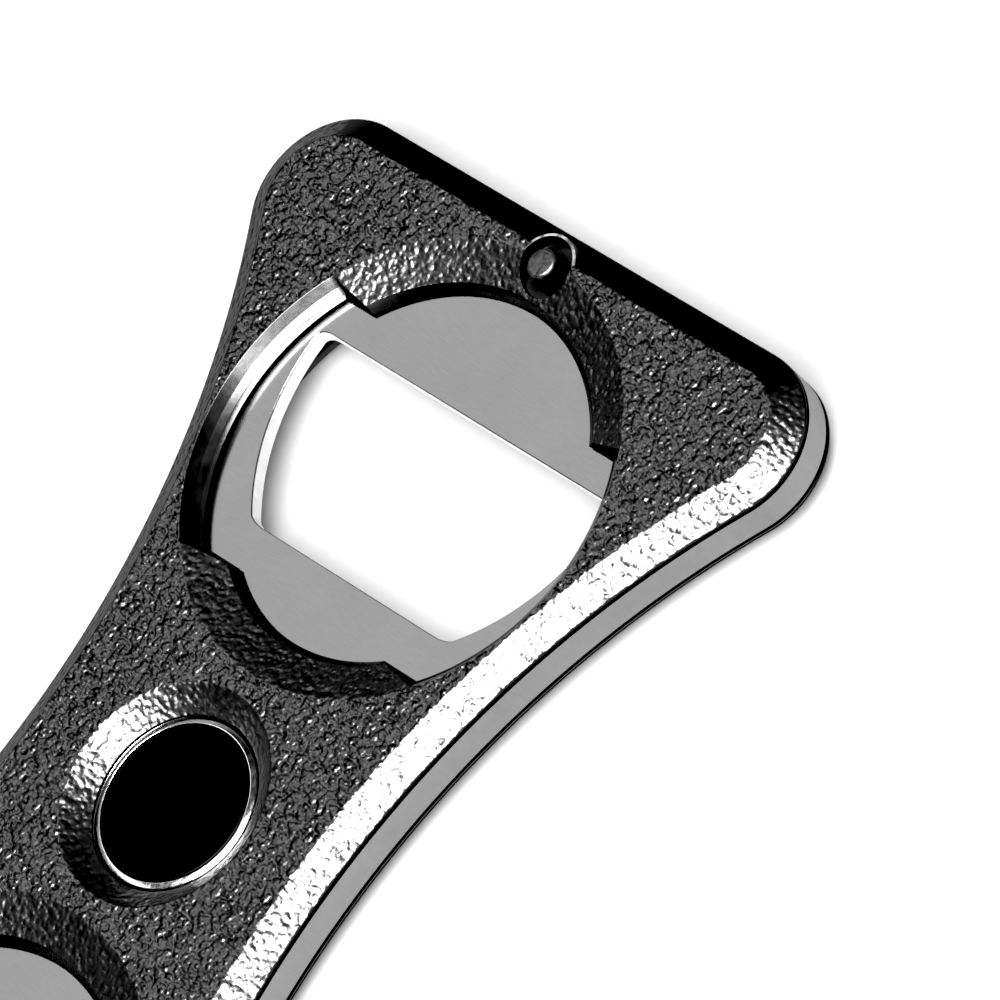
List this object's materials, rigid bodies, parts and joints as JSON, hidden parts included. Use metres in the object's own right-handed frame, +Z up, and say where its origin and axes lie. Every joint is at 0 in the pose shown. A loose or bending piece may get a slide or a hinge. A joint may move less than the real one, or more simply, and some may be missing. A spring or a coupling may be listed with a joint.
{
  "type": "keychain bottle opener",
  "caption": "Flat double-ended bottle opener: steel core plate with cap cut-outs between textured black covers, round magnet, end pin, link and split key ring.",
  "frame": {"origin": "under the centre of the round magnet, on the surface that the opener lies on", "axes": "+X across the opener, +Y along it towards the end with the pin (the key ring is at -Y), +Z up out of the front cover"},
  "size_m": [0.0522, 0.1169, 0.0066],
  "materials": {
    "cover": "moulded pebble texture",
    "plate": "finely brushed, satin edges",
    "bright": "bright",
    "ferrite": "smooth black",
    "fastener": "turned"
  },
  "bodies": {
    "opener_body": {"front_cover": "cover", "rear_cover": "cover", "opener_plate": "plate", "magnet_cup": "bright", "magnet_disc": "ferrite", "end_pin": "fastener", "cover_screw_opener_left": "fastener", "cover_screw_opener_right": "fastener", "cover_screw_ring_left": "fastener", "cover_screw_ring_right": "fastener"},
    "link": {"ring_link": "bright"},
    "ring": {"key_ring": "bright"}
  },
  "joints": [
    {"name": "link_rock", "type": "hinge", "parent": "opener_body", "child": "link", "pos_m": [0, -0.04329, 0.00308], "axis": [1, 0, 0], "range_deg": [-6.5, 6.5]},
    {"name": "ring_swing", "type": "hinge", "parent": "link", "child": "ring", "pos_m": [0, -0.04782, 0.00308], "axis": [1, 0, 0], "range_deg": [-106, 95]}
  ]
}
